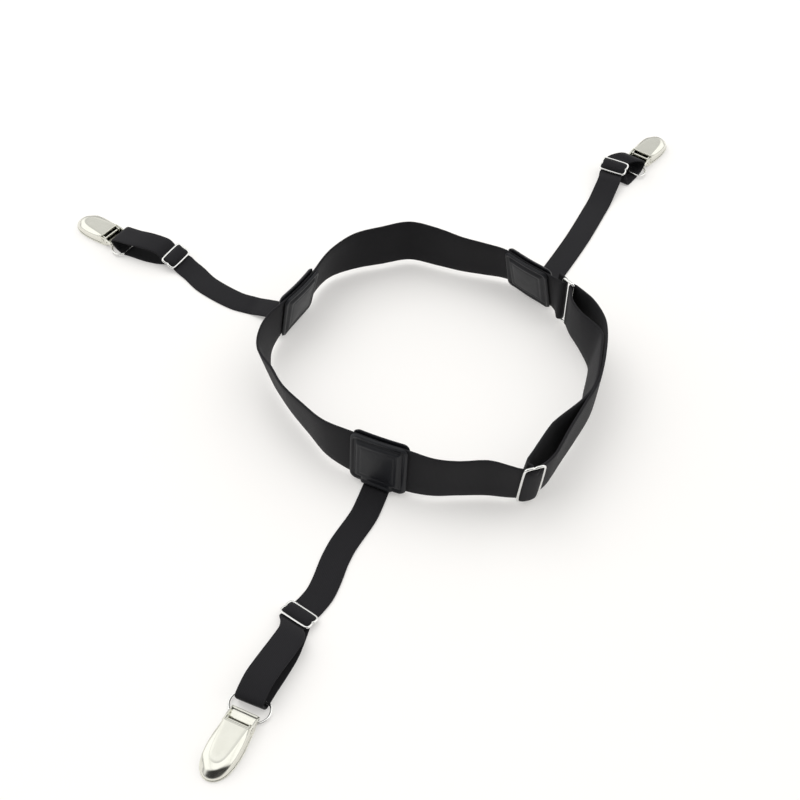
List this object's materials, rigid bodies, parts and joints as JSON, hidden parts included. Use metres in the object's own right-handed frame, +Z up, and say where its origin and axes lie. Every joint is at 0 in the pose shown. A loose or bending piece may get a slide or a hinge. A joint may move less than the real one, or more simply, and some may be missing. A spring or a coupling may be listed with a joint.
{
  "type": "shirt stay",
  "caption": "Black elastic thigh band with leather patches, elastic straps and metal garter clips that hold a shirt down.",
  "frame": {"origin": "middle of the underside of the whole part's box, on the floor it lies on", "axes": "+Z up; -Y towards the front strap, +X towards the side of the doubled band"},
  "size_m": [0.3956, 0.4746, 0.0351],
  "materials": {
    "webbing": "matte black elastic webbing",
    "leather": "soft gloss black faux leather",
    "wire": "bright plated steel wire",
    "nickel": "bright nickel plated pressed steel"
  },
  "bodies": {
    "stay": {"thigh_band": "webbing", "band_slider": "wire", "band_ring": "wire", "patch_front_outer": "leather", "patch_front_inner": "leather", "strap_front": "webbing", "slider_front": "wire", "d_ring_front": "wire", "clip_front_base": "nickel", "clip_front_jaw": "nickel", "clip_front_pin": "nickel", "patch_left_outer": "leather", "patch_left_inner": "leather", "strap_left": "webbing", "slider_left": "wire", "d_ring_left": "wire", "clip_left_base": "nickel", "clip_left_jaw": "nickel", "clip_left_pin": "nickel", "patch_right_outer": "leather", "patch_right_inner": "leather", "strap_right": "webbing", "slider_right": "wire", "d_ring_right": "wire", "clip_right_base": "nickel", "clip_right_jaw": "nickel", "clip_right_pin": "nickel"},
    "front_lever": {"clip_front_lever": "nickel"},
    "left_lever": {"clip_left_lever": "nickel"},
    "right_lever": {"clip_right_lever": "nickel"}
  },
  "joints": [
    {"name": "front_lever_hinge", "type": "hinge", "parent": "stay", "child": "front_lever", "pos_m": [-0.06189, -0.20939, 0.0042], "axis": [-0.9025, 0.4306, 0], "range_deg": [0, 85]},
    {"name": "left_lever_hinge", "type": "hinge", "parent": "stay", "child": "left_lever", "pos_m": [-0.17228, 0.13168, 0.0042], "axis": [0.6004, 0.7997, 0], "range_deg": [0, 85]},
    {"name": "right_lever_hinge", "type": "hinge", "parent": "stay", "child": "right_lever", "pos_m": [0.17661, 0.21191, 0.0042], "axis": [0.7918, -0.6108, 0], "range_deg": [0, 85]}
  ]
}
